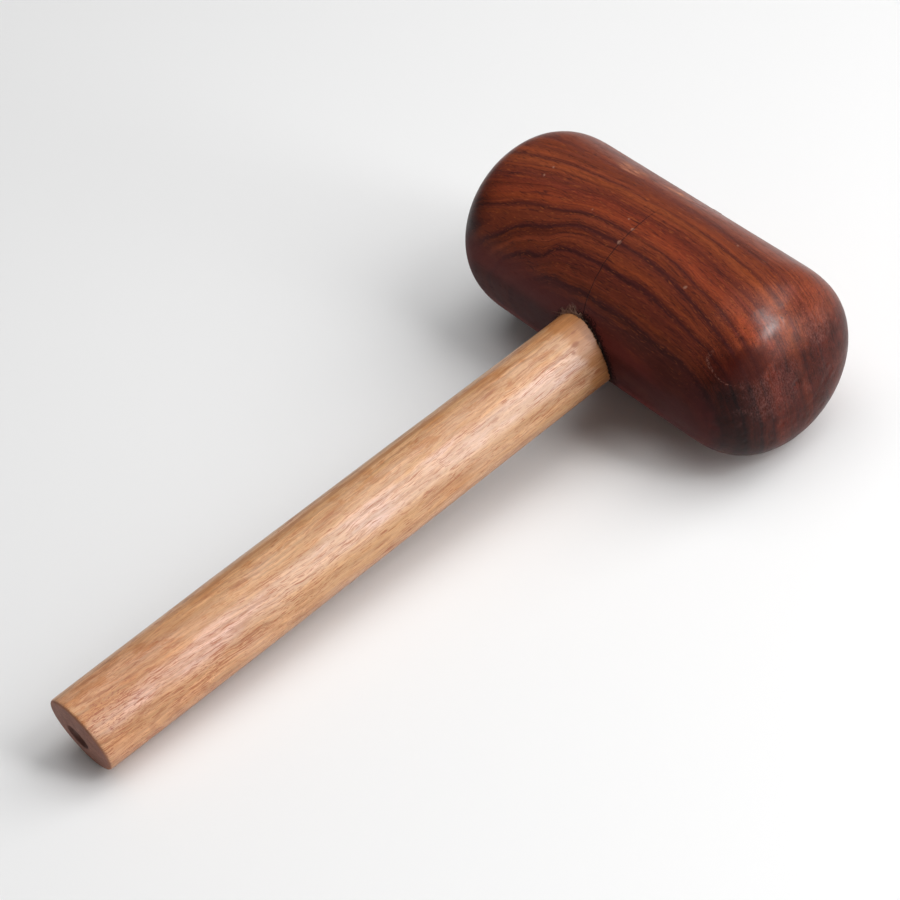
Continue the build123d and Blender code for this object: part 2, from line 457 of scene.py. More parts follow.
# ---------------------------------------------------------------- dried glue at the mouth
def build_bead():
    n, m = 360, 7
    a = np.linspace(0, 2 * math.pi, n, endpoint=False)
    ux, uz = np.cos(a), np.sin(a)
    ring_pts = np.stack([ux * 12, uz * 12, 0 * ux], 1)
    lump = noise_at(ring_pts, 3.2, 1.0)
    fine = noise_at(ring_pts, 0.7, 4.0)
    at = np.degrees(np.angle(np.exp(1j * (a - math.radians(104)))))
    more = np.exp(-(at / 34.0) ** 2)
    rag = np.maximum(0, noise_at(ring_pts, 1.1, 12.0) - 0.46) * 2.6
    width = 0.05 + 0.14 * lump + 0.40 * np.maximum(0, fine - 0.35) + 0.34 * more * (0.5 + fine) + 0.9 * rag
    height = 0.02 + 0.08 * lump + 0.22 * np.maximum(0, fine - 0.35) + 0.22 * more * (0.4 + 1.2 * fine) + 0.35 * rag
    verts, faces, rings = [], [], []
    for k in range(m):
        f = k / (m - 1)
        rad = 12.72 + width * f
        x, z = rad * ux, rad * uz
        lift = height * (1 - f ** 1.6) ** 0.8
        y = -(np.sqrt(R * R - z * z) + lift) + 0.02
        start = len(verts)
        verts.extend(np.stack([x, y, z], 1))
        rings.append(list(range(start, start + n)))
    for rad_off, down in ((1.0, 0.30), (0.0, 0.30)):
        rad = 12.72 + width * rad_off * 0.9
        x, z = rad * ux, rad * uz
        y = -(np.sqrt(R * R - z * z) - down)
        start = len(verts)
        verts.extend(np.stack([x, y, z], 1))
        rings.append(list(range(start, start + n)))
    for k in range(len(rings)):
        faces.extend(bridge(rings[k], rings[(k + 1) % len(rings)]))
    # frayed threads of glue and dust caught round the mouth, lying on the head
    r2 = random.Random(5)
    for _ in range(190):
        a0 = math.radians(r2.choice([r2.gauss(112, 13), r2.gauss(50, 26), r2.uniform(0, 360)]))
        length = r2.uniform(0.45, 1.4) * (1.6 if 95 < math.degrees(a0) < 130 else 1.0)
        skew, bend = r2.gauss(0, 0.7), r2.gauss(0, 0.9)
        w0, lift = r2.uniform(0.05, 0.21), r2.uniform(0.05, 0.48)
        prev = None
        for q in range(6):
            t = q / 5
            rad = 12.62 + length * t
            tang = (skew * t + bend * t * t) * length
            x0 = rad * math.cos(a0) - tang * math.sin(a0)
            z0 = rad * math.sin(a0) + tang * math.cos(a0)
            up = 0.04 + lift * math.sin(math.pi * min(1.0, t * 1.05))
            w = w0 * (1 - 0.85 * t)
            y0 = -(math.sqrt(R * R - z0 * z0) + up)
            tx, tz = -math.sin(a0), math.cos(a0)
            start = len(verts)
            verts.extend([(x0 + tx * w, y0, z0 + tz * w), (x0 - tx * w, y0, z0 - tz * w), (x0, y0 - w * 1.4, z0)])
            tri = [start, start + 1, start + 2]
            if prev:
                faces.extend(bridge(prev, tri))
            else:
                faces.append(tuple(tri))
            prev = tri
        faces.append(tuple(prev))
    return make_object("glue_squeeze_out", verts, faces, 50)


head = build_head()
handle = build_handle()
wedge = build_wedge()
bead = build_bead()
settle(head, "head_wood", "head")
settle(handle, "handle_wood", "handle")
settle(wedge, "wedge_wood", "wedge")
settle(bead, "glue", "glue_bead")


# ---------------------------------------------------------------- material helper
def srgb(r, g, b):
    def f(c):
        c = c / 255.0
        return c / 12.92 if c <= 0.04045 else ((c + 0.055) / 1.055) ** 2.4
    return (f(r), f(g), f(b), 1.0)


class V:
    """A node output that can be added, multiplied and so on; each operation makes a Math node."""

    def __init__(self, g, out):
        self.g, self.out = g, out

    def __add__(self, o): return self.g.math("ADD", self, o)
    __radd__ = __add__
    def __mul__(self, o): return self.g.math("MULTIPLY", self, o)
    __rmul__ = __mul__
    def __sub__(self, o): return self.g.math("SUBTRACT", self, o)
    def __rsub__(self, o): return self.g.math("SUBTRACT", o, self)
    def __truediv__(self, o): return self.g.math("DIVIDE", self, o)
    def clamp(self): return self.g.math("ADD", self, 0.0, clamp=True)
    def abs(self): return self.g.math("ABSOLUTE", self)
    def pow(self, e): return self.g.math("POWER", self, e)


class Graph:
    def __init__(self, name):
        self.mat = bpy.data.materials.new(name)
        self.mat.use_nodes = True
        self.nt = self.mat.node_tree
        self.bsdf = self.nt.nodes["Principled BSDF"]
        tc = self.new("ShaderNodeTexCoord")
        mp = self.new("ShaderNodeMapping")
        mp.vector_type = "TEXTURE"
        mp.inputs["Location"].default_value = ORIGIN
        mp.inputs["Rotation"].default_value = (SLOPE, 0, 0)
        mp.inputs["Scale"].default_value = (0.001, 0.001, 0.001)
        self.nt.links.new(tc.outputs["Object"], mp.inputs["Vector"])
        self.P = V(self, mp.outputs["Vector"])          # millimetres, working frame
        sp = self.new("ShaderNodeSeparateXYZ")
        self.link(self.P, sp.inputs[0])
        self.x, self.y, self.z = (V(self, sp.outputs[i]) for i in range(3))

    def new(self, kind):
        return self.nt.nodes.new(kind)

    def link(self, value, socket):
        if isinstance(value, V):
            self.nt.links.new(value.out, socket)
        else:
            socket.default_value = value

    def math(self, op, a, b=0.0, clamp=False):
        n = self.new("ShaderNodeMath")
        n.operation = op
        n.use_clamp = clamp
        self.link(a, n.inputs[0])
        if op not in ("ABSOLUTE", "SQRT", "SINE"):
            self.link(b, n.inputs[1])
        return V(self, n.outputs[0])

    def vec(self, x, y, z):
        n = self.new("ShaderNodeCombineXYZ")
        for v, s in zip((x, y, z), n.inputs):
            self.link(v, s)
        return V(self, n.outputs[0])

    def noise(self, vec, scale=1.0, detail=2.0, rough=0.5, distort=0.0):
        n = self.new("ShaderNodeTexNoise")
        n.noise_dimensions = "3D"
        self.link(vec, n.inputs["Vector"])
        n.inputs["Scale"].default_value = scale
        n.inputs["Detail"].default_value = detail
        n.inputs["Roughness"].default_value = rough
        n.inputs["Distortion"].default_value = distort
        return V(self, n.outputs["Fac"])

    def voronoi(self, vec, scale=1.0, feature="F1", rand=1.0):
        n = self.new("ShaderNodeTexVoronoi")
        n.feature = feature
        self.link(vec, n.inputs["Vector"])
        n.inputs["Scale"].default_value = scale
        n.inputs["Randomness"].default_value = rand
        return V(self, n.outputs["Distance"])

    def map(self, v, a, b, c=0.0, d=1.0, smooth=True):
        n = self.new("ShaderNodeMapRange")
        n.interpolation_type = "SMOOTHSTEP" if smooth else "LINEAR"
        self.link(v, n.inputs["Value"])
        for s, q in zip(("From Min", "From Max", "To Min", "To Max"), (a, b, c, d)):
            n.inputs[s].default_value = q
        return V(self, n.outputs["Result"])

    def curve(self, v, a, b, c, d, points):
        """A function of v on [a, b] drawn through the listed points, with values in [c, d]."""
        n = self.new("ShaderNodeFloatCurve")
        cm = n.mapping
        cm.use_clip = True
        crv = cm.curves[0]
        pts = [((p - a) / (b - a), (q - c) / (d - c)) for p, q in points]
        while len(crv.points) < len(pts):
            crv.points.new(0.5, 0.5)
        for cp, (p, q) in zip(sorted(crv.points, key=lambda k: k.location[0]), pts):
            cp.location = (p, q)
        cm.update()
        self.link(self.map(v, a, b, 0.0, 1.0, False), n.inputs["Value"])
        return V(self, n.outputs[0]) * (d - c) + c

    def ramp(self, v, stops, mode="LINEAR"):
        n = self.new("ShaderNodeValToRGB")
        n.color_ramp.interpolation = mode
        e = n.color_ramp.elements
        while len(e) < len(stops):
            e.new(0.5)
        for i, (pos, col) in enumerate(stops):
            e[i].position = pos
            e[i].color = col
        self.link(v, n.inputs[0])
        return V(self, n.outputs[0])

    def mix(self, fac, a, b, blend="MIX"):
        n = self.new("ShaderNodeMix")
        n.data_type = "RGBA"
        n.blend_type = blend
        self.link(fac, n.inputs[0])
        self.link(a, n.inputs[6])
        self.link(b, n.inputs[7])
        return V(self, n.outputs[2])

    def scale_color(self, c, f):
        """Colour c times the number f."""
        return self.mix(1.0, c, self.vec(f, f, f), "MULTIPLY")

    def bump(self, height, strength, distance, normal=None):
        n = self.new("ShaderNodeBump")
        n.inputs["Strength"].default_value = strength
        n.inputs["Distance"].default_value = distance
        self.link(height, n.inputs["Height"])
        if normal is not None:
            self.link(normal, n.inputs["Normal"])
        return V(self, n.outputs["Normal"])

    def radius(self, a, b):
        return self.math("SQRT", a * a + b * b)

    def put(self, **sockets):
        for k, v in sockets.items():
            self.link(v, self.bsdf.inputs[k.replace("_", " ")])


# ---------------------------------------------------------------- head: dark hardwood
def head_material():
    g = Graph("dark_hardwood")
    x, y, z = g.x, g.y, g.z
    # Growth rings are nearly flat across Y. They sag towards both ends of the head; how far
    # depends on the place along the head and on the ring.
    sag_l = g.curve(x, -70, 2, 0, 24, [(-70, 23.5), (-60, 21.6), (-54, 19.8), (-48, 16.7), (-42, 13.7), (-36, 10.5), (-30, 8.3),
                                       (-24, 6.0), (-18, 3.1), (-12, 1.5), (-6, 0.8), (2, 0.0)])
    sag_r = g.curve(x, 2, 68, 0, 8, [(2, 0.3), (9, 0.1), (17, 0.0), (25.5, 0.8), (32, 1.9), (38, 3.0), (46, 4.4), (53, 5.4),
                                     (60, 6.1), (68, 6.4)])
    low = g.noise(g.vec(x * 0.030, y * 0.07, z * 0.05), 1.0, 2.0, 0.5)
    mid = g.noise(g.vec(x * 0.10, y * 0.25, z * 0.16), 1.0, 2.0, 0.5)
    fine = g.noise(g.vec(x * 0.26, y * 1.3, z * 1.0), 1.0, 3.0, 0.6)
    wander = y + (low - 0.5) * 1.3 + (mid - 0.5) * 1.2 + (fine - 0.5) * 0.55
    ring = wander + sag_l * 0.75 + sag_r * 0.75
    for _ in range(2):
        wl = g.curve(ring, -34, 34, 0, 1, [(-34, 0.45), (-25, 0.60), (-21, 0.80), (-17, 0.95), (-9, 1.0), (-4.6, 0.80),
                                           (3, 0.56), (10, 0.42), (16, 0.24), (34, 0.15)])
        wr = g.curve(ring, -34, 34, 0, 1, [(-34, 0.15), (-25, 0.30), (-17, 0.55), (-9, 1.0), (-4.6, 1.0), (3, 0.85),
                                           (16, 0.70), (34, 0.60)])
        ring = wander + sag_l * wl + sag_r * wr
    jog = g.map((x + 23.0).abs(), 6.5, 0.5) * g.map((ring + 17.0).abs(), 6.0, 1.0)
    ring = ring + jog * 1.3

    def at(v): return (v + 36.0) / 72.0
    band = [
        (-36, (58, 27, 27)), (-28.5, (72, 33, 31)), (-26.2, (84, 38, 33)), (-25.3, (66, 30, 30)), (-24.5, (62, 28, 29)),
        (-23.6, (108, 49, 33)), (-22.0, (116, 52, 34)), (-20.0, (96, 42, 32)), (-17.8, (102, 45, 33)), (-17.1, (64, 29, 30)),
        (-16.3, (70, 31, 31)), (-15.5, (104, 46, 32)), (-13.4, (124, 57, 35)), (-11.2, (112, 50, 34)), (-10.0, (96, 43, 33)),
        (-9.4, (62, 28, 29)), (-8.8, (74, 33, 31)), (-8.1, (112, 50, 33)), (-6.2, (121, 55, 35)), (-5.3, (100, 44, 32)),
        (-4.7, (72, 32, 30)), (-4.0, (114, 49, 32)), (-2.4, (138, 60, 35)), (1.5, (112, 47, 32)), (3.2, (96, 42, 32)),
        (5.4, (116, 53, 35)), (8.4, (136, 67, 39)), (9.9, (88, 41, 33)), (11.2, (126, 60, 38)), (15.9, (92, 43, 34)),
        (18.5, (120, 57, 38)), (36, (112, 52, 36))]
    col = g.ramp((ring + 36.0) / 72.0, [(at(p), srgb(*q)) for p, q in band])
    col = g.mix(0.12, col, srgb(110, 50, 34))
    # lesser lines between them come and go
    minor = g.noise(g.vec(x * 0.022, ring * 0.62, z * 0.03 + 4.0), 1.0, 2.0, 0.5)
    col = g.mix(g.map((minor - 0.54).abs(), 0.022, 0.004) * 0.55, col, srgb(62, 28, 28))
    # streaks that follow the rings, dark and orange
    st = g.noise(g.vec(x * 0.018, ring * 1.1, z * 0.03), 1.0, 5.0, 0.66)
    col = g.scale_color(col, g.map(st, 0.30, 0.70, 0.66, 1.26, False))
    hue = g.noise(g.vec(x * 0.03, ring * 0.55, z * 0.04 + 9.0), 1.0, 4.0, 0.6)
    col = g.mix(g.map(hue, 0.52, 0.70) * 0.40, col, srgb(146, 68, 34))
    fleck = g.noise(g.vec(x * 0.34, ring * 3.0, z * 1.6), 1.0, 2.0, 0.55)
    col = g.mix(g.map(fleck, 0.57, 0.72) * 0.42, col, srgb(164, 88, 48))
    # pores: short dark dashes along the grain, dots on the end grain
    pore = g.noise(g.vec(x * 0.30, y * 3.2, z * 3.2), 1.0, 1.0, 0.5)
    pores = g.map(pore, 0.585, 0.69)
    col = g.mix(pores * 0.50, col, srgb(44, 20, 21))
    fib = g.noise(g.vec(x * 0.6, y * 6.0, z * 6.0), 1.0, 2.0, 0.6)
    col = g.scale_color(col, g.map(fib, 0.25, 0.75, 0.80, 1.08, False))

    # end grain drinks the finish and is darker; painted shade also darkens the lower part of both ends, most on the
    # handle side
    end_x = g.map(x.abs(), 50.0, 61.0)
    warp = (g.noise(g.vec(x * 0.07, y * 0.07, z * 0.07), 1.0, 2.0, 0.5) - 0.5) * 6.0
    ends = g.map(z + y * 0.10 + warp, 20.0, 6.0) * end_x
    col = g.mix(ends, col, g.mix(1.0, col, srgb(160, 140, 150), "MULTIPLY"))
    # painted shade on the handle side of both ends
    painted_shade_low_ends = g.map(y + warp * 0.6, -8.0, -21.0) * g.map(x.abs(), 48.0, 60.0)
    col = g.mix(painted_shade_low_ends, col, g.mix(1.0, col, srgb(158, 146, 152), "MULTIPLY"))
    # low on the handle side the wood is dull and purple-brown, with painted shade where that side turns from the light
    low_side_wood_and_shade = g.map(y + (low - 0.5) * 5.0, -25.0, -30.5)
    col = g.mix(low_side_wood_and_shade * 0.85, col, g.mix(g.math("MAXIMUM", g.map(y, -30.2, -31.4), g.map(x, 24.0, 44.0)), srgb(96, 36, 33), srgb(66, 18, 17)))

    # the struck face: finish bruised to dull, dusty patches
    right = g.map(x, 53.0, 60.0)
    grit = g.noise(g.vec(x * 1.1, y * 1.1, z * 1.1), 1.0, 4.0, 0.75)
    patch = g.noise(g.vec(x * 0.12, y * 0.15, z * 0.15), 1.0, 4.0, 0.65)
    zone_a = g.map(g.radius((y + 8.0) * 0.9, (z - 3.0) * 0.8) + (patch - 0.5) * 10.0, 12.0, 5.0)
    zone_b = g.map(g.radius((y - 14.0) * 0.8, z - 12.0) + (patch - 0.5) * 8.0, 7.0, 3.0)
    zone_c = g.map(patch, 0.50, 0.66) * g.map(g.radius(y, z), 26.0, 18.0)
    tick = g.noise(g.vec(x * 1.0, y * 2.4, z * 0.9), 1.0, 4.0, 0.75)
    worn = right * g.math("MAXIMUM", g.math("MAXIMUM", zone_a * 0.8, zone_b), zone_c * 0.7) * g.map(tick, 0.40, 0.66)
    col = g.mix(worn * 0.36, col, srgb(134, 92, 86))
    mottle = g.noise(g.vec(x * 0.3, y * 0.34, z * 0.26), 1.0, 4.0, 0.7)
    col = g.scale_color(col, 1.0 + right * (g.map(mottle, 0.32, 0.68, 0.66, 1.36, False) - 1.0))
    specks = right * g.map(g.noise(g.vec(x * 0.8, y * 0.8, z * 0.8), 1.0, 1.0, 0.5), 0.70, 0.76)
    col = g.mix(specks * 0.7, col, srgb(38, 18, 18))
    # a bruise near its lower edge, dark with a pale crescent of lifted finish
    br = g.radius((y + 13.2) * 0.76, z - 16.6) + (patch - 0.5) * 5.0 + (grit - 0.5) * 1.4
    bruise = g.map(br, 7.4, 3.8) * g.map(x, 46.0, 50.0)
    col = g.mix(bruise * 0.80, col, srgb(52, 11, 6))
    br2 = g.radius(y + 16.6, z - 17.6) + (patch - 0.5) * 2.0
    crescent = g.map((br2 - 5.7).abs(), 0.34, 0.06) * g.map(y, -18.0, -20.5) * g.map(x, 46.0, 50.0) * g.map(grit, 0.44, 0.60)
    col = g.mix(crescent * 0.27, col, srgb(160, 112, 100))

    # pale scuffs on the back of the barrel, and a few specks
    scuff_n = g.noise(g.vec(x * 0.22, y * 0.9, z * 0.9), 1.0, 4.0, 0.7)
    crumple = g.noise(g.vec(x * 0.16, y * 0.34, z * 0.34), 1.0, 3.0, 0.6)
    sc1 = g.map(g.radius((x + 25.0) * 0.34, (y - 18.6) * 0.85) + (crumple - 0.5) * 3.0, 3.2, 0.4)
    sc2 = g.map(g.radius((x + 6.0) * 0.30, y - 21.5) + (crumple - 0.5) * 3.0, 2.4, 0.3)
    scuffs = g.math("MAXIMUM", sc1, sc2) * g.map(scuff_n, 0.40, 0.62) * g.map(z, 0.0, 6.0)
    col = g.mix(scuffs * 0.62, col, srgb(204, 146, 116))
    spots = None
    for sx, phi, rad, amount in ((2.4, 84.0, 0.8, 0.50), (2.2, 73.6, 1.0, 0.42), (-41.2, 90.4, 0.7, 0.42), (-41.0, 83.2, 0.65, 0.40),
                                 (34.4, 72.2, 0.9, 0.38), (-2.0, 88.3, 0.5, 0.40), (-15.6, 81.2, 0.5, 0.30), (32.8, 114.6, 0.6, 0.32)):
        sy, sz = -R * math.cos(math.radians(phi)), R * math.sin(math.radians(phi))
        q = g.radius(x - sx, g.radius(y - sy, z - sz)) + (grit - 0.5) * 1.6
        s = g.map(q, rad, rad * 0.25) * amount
        spots = s if spots is None else g.math("MAXIMUM", spots, s)
    col = g.mix(spots, col, srgb(186, 140, 120))

    # a scribed setting-out line round the middle, from the handle over the top
    wob = g.noise(g.vec(0.0, y * 0.25, z * 0.25), 1.0, 2.0, 0.5)
    path = g.curve(y, -30, 12, 0, 4, [(-30, 1.5), (-27, 1.8), (-16, 2.3), (-8, 2.6), (0, 2.5), (5, 2.0), (12, 1.3)])
    off = (x - path + (wob - 0.5) * 0.5).abs()
    where = g.map(y, 14.0, -1.0, 0.0, 1.0) * g.map(z, 3.0, 8.0)
    brk = g.noise(g.vec(x * 0.0, y * 1.1, z * 1.1), 1.0, 2.0, 0.5)
    line = g.map(off, 0.34, 0.08) * where * g.map(brk, 0.32, 0.50, 0.45, 1.0)
    col = g.mix(line * 0.66, col, srgb(32, 16, 19))

    # grime and painted shade of the gap where the handle enters, thick on the right of the mouth, and a dry glue smear
    # at the top left
    rim = g.radius(x, z)
    crumb = g.noise(g.vec(x * 1.6, y * 1.6, z * 1.6), 1.0, 3.0, 0.7)
    chip = g.map(crumb, 0.36, 0.64) - 0.5
    side = g.map(x, -6.0, 8.0, 0.10, 1.0)
    mouth_grime_and_shade = g.map(rim - side * 1.5 + chip * 2.6, 14.1, 13.1) * g.map(y, 0.0, -5.0)
    col = g.mix(mouth_grime_and_shade * 0.80, col, srgb(26, 14, 15))
    hair = g.noise(g.vec(x * 2.6 + z * 1.0, y * 1.2, z * 0.8 - x * 0.3), 1.0, 3.0, 0.7)
    smear = g.map(g.radius((x + 3.4) * 0.72, z - 13.5) + (crumb - 0.5) * 2.5, 2.1, 0.7) * g.map(y, 0.0, -5.0) * g.map(hair, 0.44, 0.60)
    col = g.mix(smear * 0.58, col, srgb(166, 134, 118))

    sheen = g.noise(g.vec(x * 0.05, y * 0.12, z * 0.12), 1.0, 3.0, 0.6)
    rough = g.map(sheen, 0.3, 0.7, 0.27, 0.38, False) + worn * 0.25 + pores * 0.10 + line * 0.2 + scuffs * 0.3 + mouth_grime_and_shade * 0.3 + low_side_wood_and_shade * 0.22
    scratch = g.noise(g.vec(x * 0.5 + y * 0.35, y * 5.0 - x * 1.2, z * 0.7), 1.0, 2.0, 0.5)
    h = (1.0 - pores) * 0.5 + fib * 0.15 - line * 1.4 + grit * right * 0.9 + st * 0.2 + scratch * 0.25 + smear * 1.5 + crumb * mouth_grime_and_shade * 1.5
    # the shoulders above the striking faces are rubbed to a shine
    polish = g.map(x.abs(), 42.0, 58.0) * g.map(z, 9.0, 18.0) * g.map(z, 31.0, 23.5) * g.map((y - 1.5).abs(), 11.5, 3.0) * (1.0 - worn) * g.map(scratch, 0.30, 0.60, 0.55, 1.0)
    g.put(Base_Color=col, Roughness=rough, Normal=g.bump(h, 0.35, 0.00012), Coat_Weight=polish * 0.76)
    g.bsdf.inputs["Coat Roughness"].default_value = 0.24
    g.bsdf.inputs["IOR"].default_value = 1.19
    return g.mat


# ---------------------------------------------------------------- handle: pale hardwood
def handle_material():
    g = Graph("pale_hardwood")
    x, y, z = g.x, g.y, g.z
    s = 0.0 - y
    psi = g.math("ARCTAN2", z, x) * 57.2958
    # the grain follows the stick, then runs out towards the butt
    run = g.map(s, 140.0, 175.0) * (s - 150.0) * 0.062
    wave = (g.noise(g.vec(x * 0.05, y * 0.035, z * 0.05), 1.0, 2.0, 0.5) - 0.5) * 2.2
    curl = (g.noise(g.vec(x * 0.16, y * 0.11, z * 0.16), 1.0, 2.0, 0.5) - 0.5) * 1.1
    gx, gz = x + run + wave + curl, z - run + wave * 0.7 - curl

    ring = gx * 0.55 + gz * 0.83 + (g.noise(g.vec(gx * 0.12, y * 0.018, gz * 0.12), 1.0, 2.0) - 0.5) * 7.0
    band = g.noise(g.vec(ring * 0.34, y * 0.006, 3.0), 1.0, 3.0, 0.55)
    col = g.ramp(band, [(0.25, srgb(180, 128, 84)), (0.42, srgb(198, 151, 106)), (0.58, srgb(206, 160, 118)), (0.78, srgb(176, 126, 88))])
    # cloudy pink and tan patches; a painted highlight makes the side facing the key lamp pinker
    cloud = g.noise(g.vec(x * 0.11, y * 0.030, z * 0.11), 1.0, 4.0, 0.6)
    painted_highlight_band = g.map((psi - 43.0).abs(), 24.0, 9.0)
    col = g.mix(g.map(cloud, 0.44, 0.66) * (0.20 + painted_highlight_band * 0.66), col, srgb(222, 184, 168))
    # painted highlight: a pale pink band along the key lamp's highlight
    col = g.mix(g.map((psi - 41.0).abs(), 20.0, 6.0) * 0.28, col, srgb(226, 192, 178))
    cloud2 = g.noise(g.vec(x * 0.12 + 7.0, y * 0.040, z * 0.12), 1.0, 4.0, 0.6)
    col = g.mix(g.map(cloud2, 0.52, 0.70) * 0.60 * (1.0 - painted_highlight_band * 0.6), col, srgb(180, 122, 74))
    # figure: broad soft brown flames, stronger near the butt
    flame = g.noise(g.vec(gx * 0.55, y * 0.055, gz * 0.55), 1.0, 4.0, 0.62)
    more = g.map(s, 185.0, 215.0, 0.32, 0.55)
    gold = g.map((psi - 84.0).abs(), 32.0, 14.0)
    figure = g.noise(g.vec(gx * 0.30, y * 0.10, gz * 0.30), 1.0, 4.0, 0.66)
    col = g.mix(g.map(figure, 0.52, 0.62) * (0.16 + gold * 0.34), col, srgb(180, 116, 62))
    col = g.mix(g.map(flame, 0.53, 0.66) * (more + 0.12), col, srgb(158, 100, 60))
    # streaks
    st = g.noise(g.vec(gx * 1.0, y * 0.024, gz * 1.0), 1.0, 5.0, 0.66)
    col = g.scale_color(col, g.map(st, 0.30, 0.70, 0.74, 1.20, False))
    line = g.noise(g.vec(gx * 2.7, y * 0.013, gz * 2.7), 1.0, 2.0, 0.5)
    lines = g.map(line, 0.61, 0.68)
    col = g.mix(lines * (0.48 + g.map(psi, 48.0, 30.0) * 0.28), col, srgb(158, 92, 54))
    # pores: thin brown dashes that come in drifts
    dens = g.noise(g.vec(gx * 0.22, y * 0.035, gz * 0.22), 1.0, 3.0, 0.55)
    p1 = g.noise(g.vec(gx * 3.0, y * 0.11, gz * 3.0), 1.0, 2.0, 0.55)
    pores = g.map(p1 + (dens - 0.5) * 0.42, 0.595, 0.665) * (1.0 - gold * 0.45)
    col = g.mix(pores * 0.78, col, srgb(158, 88, 52))
    p2 = g.noise(g.vec(gx * 4.2, y * 0.30, gz * 4.2), 1.0, 1.0, 0.5)
    pores2 = g.map(p2 + (dens - 0.5) * 0.20, 0.60, 0.67) * (1.0 - gold * 0.3)
    col = g.mix(pores2 * 0.62, col, srgb(156, 84, 52))
    near_butt = g.map(s, 200.0, 218.0) * g.map((psi - 46.0).abs(), 34.0, 20.0)
    p3 = g.noise(g.vec(x * 3.2, y * 0.62, z * 3.2), 1.0, 1.0, 0.5)
    reds = g.map(p3, 0.58, 0.68) * near_butt
    col = g.mix(reds * 0.66, col, srgb(140, 62, 42))
    fib = g.noise(g.vec(x * 5.0, y * 0.9, z * 5.0), 1.0, 2.0, 0.6)
    col = g.scale_color(col, g.map(fib, 0.25, 0.75, 0.92, 1.08, False))

    # cathedral arcs on the low side near the butt
    arc = g.math("SINE", (s * 0.55 + (psi + 12.0) * (psi + 12.0) * 0.0065 + (cloud - 0.5) * 9.0) * 1.25, 0.0)
    arcs = g.map(arc, 0.45, 0.95) * g.map(s, 186.0, 196.0) * g.map(s, 224.0, 214.0) * g.map((psi + 8.0).abs(), 24.0, 12.0)
    col = g.mix(arcs * 0.30, col, srgb(152, 94, 60))
    # a long darker vein along the top, and a few marks
    vein = g.map((psi - 107.0 + (cloud - 0.5) * 10.0).abs(), 6.0, 1.5) * g.map(s, 56.0, 75.0) * g.map(s, 178.0, 160.0)
    col = g.mix(vein * 0.50, col, srgb(150, 92, 50))
    marks = None
    for ms, mpsi, length, width, amount in ((37.0, 58, 1.7, 1.0, 0.62), (39.2, 50, 0.9, 0.6, 0.62), (34.6, 74, 1.2, 0.6, 0.40), (35.5, 6, 1.8, 0.8, 0.60), (73.0, 43, 1.6, 0.6, 0.45),
                                            (150.0, 100, 1.6, 0.6, 0.55), (152.0, 94, 1.0, 0.5, 0.45), (114.0, -14, 1.3, 0.7, 0.55),
                                            (69.0, 78, 3.5, 0.7, 0.45), (48.0, 72, 2.2, 0.6, 0.40)):
        mr = float(handle_r(ms))
        mx, mz = mr * math.cos(math.radians(mpsi)), mr * math.sin(math.radians(mpsi))
        q = g.radius((s - ms) / length, g.radius(x - mx, z - mz) / width) + (flame - 0.5) * 1.6
        m = g.map(q, 1.2, 0.4) * amount
        marks = m if marks is None else g.math("MAXIMUM", marks, m)
    # by the head a painted shade makes the handle darker and more orange, up to a soft ragged edge
    rag = (cloud - 0.5) * 6.0 + (flame - 0.5) * 5.0
    head_shade_band = g.map(s + rag * 1.4 + (dens - 0.5) * 6.0, 40.0, 36.5)
    col = g.mix(head_shade_band * 0.55 * (1.0 - pores * 0.5) * (1.0 - lines * 0.5), col, g.scale_color(srgb(200, 142, 88), g.map(st, 0.30, 0.70, 0.86, 1.12, False)))
    col = g.mix(head_shade_band * 0.62, col, g.mix(1.0, col, srgb(218, 190, 158), "MULTIPLY"))
    col = g.mix(marks, col, srgb(140, 72, 38))
    # painted shade where the handle enters the head, darker on the right
    joint_shade = g.map(s - z * 0.09 + (fib - 0.5) * 2.0 + (flame - 0.5) * 3.0, 33.0, 30.6) * g.map(x, -4.0, 8.0, 0.25, 1.0)
    col = g.mix(joint_shade * 0.42, col, srgb(118, 62, 34))
    # painted shade darkens the low side a little
    painted_underside_shade = g.map(z + x * 0.12, 1.0, -8.0, 0.0, 1.0)
    col = g.mix(painted_underside_shade * 0.70, col, g.mix(1.0, col, srgb(222, 212, 208), "MULTIPLY"))

    rosy = g.map(s, 140.0, 205.0)
    col = g.mix(rosy * 0.80, col, g.mix(1.0, col, srgb(254, 243, 238), "MULTIPLY"))
    # painted shade on the side facing the key lamp, and painted light along the top
    painted_shade_key_side = g.map((psi - 24.0).abs(), 34.0, 10.0)
    painted_light_top = g.map((psi - 100.0).abs(), 22.0, 10.0)
    col = g.scale_color(col, 0.97 - painted_shade_key_side * 0.095 + painted_light_top * 0.060 + rosy * 0.02)

    # the sawn butt: end grain, dark with handling, rubbed pale and orange at its rim, where a painted highlight also
    # marks the rounded edge
    butt = g.map(s + x * CUT_X - z * CUT_Z, HANDLE_END - 0.62, HANDLE_END - 0.16)
    dots = g.noise(g.vec(x * 2.4, y * 0.1, z * 2.4), 1.0, 2.0, 0.6)
    dirt = g.noise(g.vec(x * 0.35, y * 0.35, z * 0.35), 1.0, 4.0, 0.65)
    end = g.ramp(dirt, [(0.3, srgb(124, 80, 65)), (0.7, srgb(158, 103, 84))])
    end = g.scale_color(end, g.map(dots, 0.3, 0.7, 0.74, 1.16, False))
    # pale orange rim: wear of the rounded edge, and a painted highlight where it catches the light
    rim_wear_and_highlight = g.map(g.radius(x, z) + (dirt - 0.5) * 2.4, 11.6, 13.2)
    end = g.mix(rim_wear_and_highlight * 0.55, end, srgb(160, 104, 72))
    # a stained rim round the centre mark, with painted shade of the recess
    recess_stain_and_shade = g.map(g.radius(x - RECESS_X, z - RECESS_Z) + (dirt - 0.5) * 1.6, RECESS_R + 1.5, RECESS_R - 0.5)
    end = g.mix(recess_stain_and_shade * 0.80, end, srgb(92, 50, 41))
    col = g.mix(butt, col, end)
